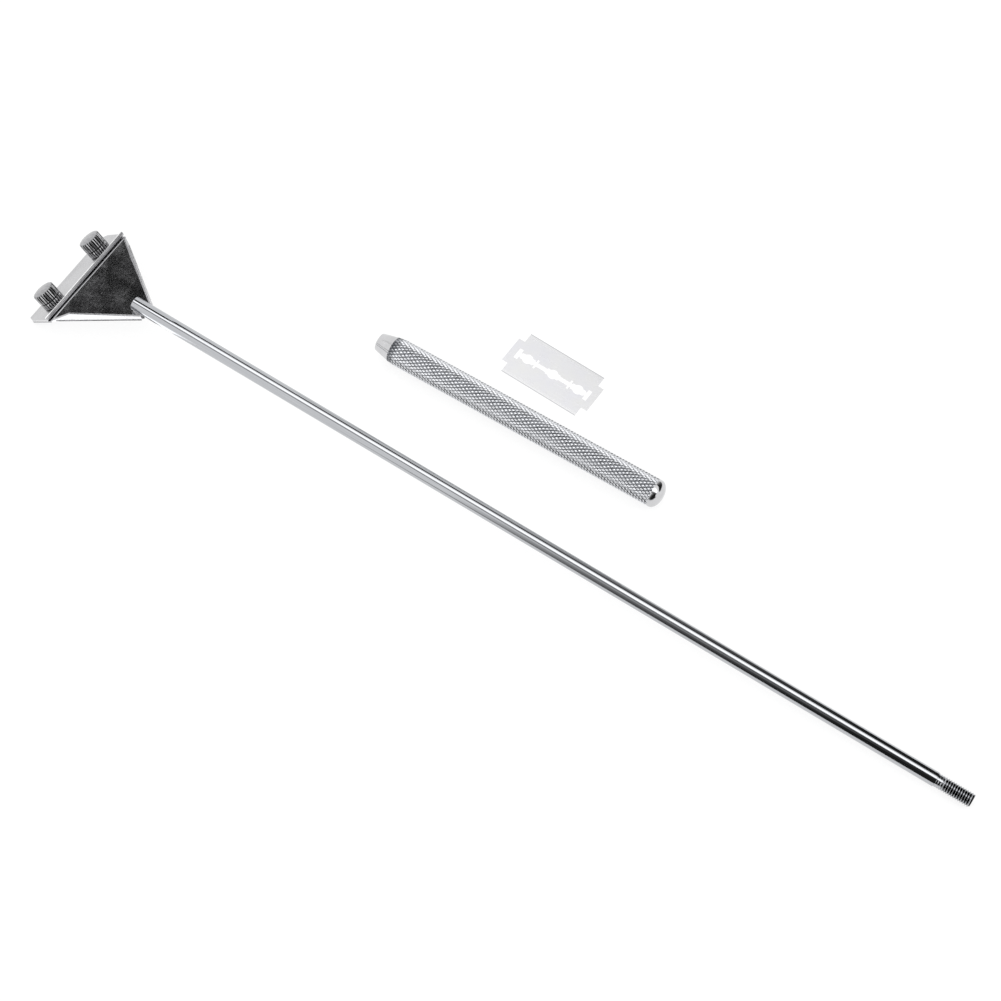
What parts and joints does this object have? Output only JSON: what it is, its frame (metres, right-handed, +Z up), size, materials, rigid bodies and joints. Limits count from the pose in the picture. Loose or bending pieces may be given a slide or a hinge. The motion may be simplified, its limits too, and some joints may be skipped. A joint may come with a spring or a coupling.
{
  "type": "algae scraper",
  "caption": "Long-handled steel scraper for tank glass: a clamp head holds a thin blade, and a knurled handle screws onto the rod's thread.",
  "frame": {"origin": "on the table top, under the middle of the whole layout", "axes": "+X along the rod from the head to the thread, +Y towards the loose handle and blade, +Z up"},
  "size_m": [0.4336, 0.1106, 0.0173],
  "materials": {
    "head_sheet": "mirror-polished stainless sheet",
    "clamp_sheet": "satin stainless sheet",
    "stud_steel": "plain turned steel",
    "nut_steel": "straight-knurled steel",
    "rod_steel": "polished stainless bar",
    "weld_steel": "cleaned weld bead",
    "handle_polished": "polished steel",
    "handle_knurl": "diamond-knurled steel",
    "blade_steel": "bright rolled blade steel"
  },
  "bodies": {
    "scraper": {"head_plate": "head_sheet", "stud_left": "stud_steel", "stud_right": "stud_steel", "rod": "rod_steel", "rod_weld": "weld_steel"},
    "clamp_plate": {"clamp_plate": "clamp_sheet"},
    "thumb_nut_left": {"thumb_nut_left": "nut_steel"},
    "thumb_nut_right": {"thumb_nut_right": "nut_steel"},
    "handle": {"handle_nose": "handle_polished", "handle_grip": "handle_knurl", "handle_end_cap": "handle_polished"},
    "spare_blade": {"spare_blade": "blade_steel"}
  },
  "joints": [
    {"name": "clamp_open", "type": "slide", "parent": "scraper", "child": "clamp_plate", "axis": [-0.6608, 0, 0.7506], "range_m": [0, 0.0028]},
    {"name": "nut_left_turn", "type": "hinge", "parent": "clamp_plate", "child": "thumb_nut_left", "pos_m": [-0.20754, -0.04494, 0.00678], "axis": [-0.6608, 0, 0.7506], "range_deg": [0, 1440]},
    {"name": "nut_right_turn", "type": "hinge", "parent": "clamp_plate", "child": "thumb_nut_right", "pos_m": [-0.20754, -0.01393, 0.00678], "axis": [-0.6608, 0, 0.7506], "range_deg": [0, 1440]},
    {"name": "handle_slide", "type": "slide", "parent": "scraper", "child": "handle", "axis": [0.9931, -0.1175, 0], "range_m": [0, 0.37459]},
    {"name": "blade_lift", "type": "slide", "parent": "scraper", "child": "spare_blade", "axis": [0, 0, 1], "range_m": [0, 0.03]}
  ],
  "couplings": [
    {"joint": "nut_left_turn", "follows": "clamp_open", "rad_per_m": 8976},
    {"joint": "nut_right_turn", "follows": "clamp_open", "rad_per_m": 8976}
  ]
}
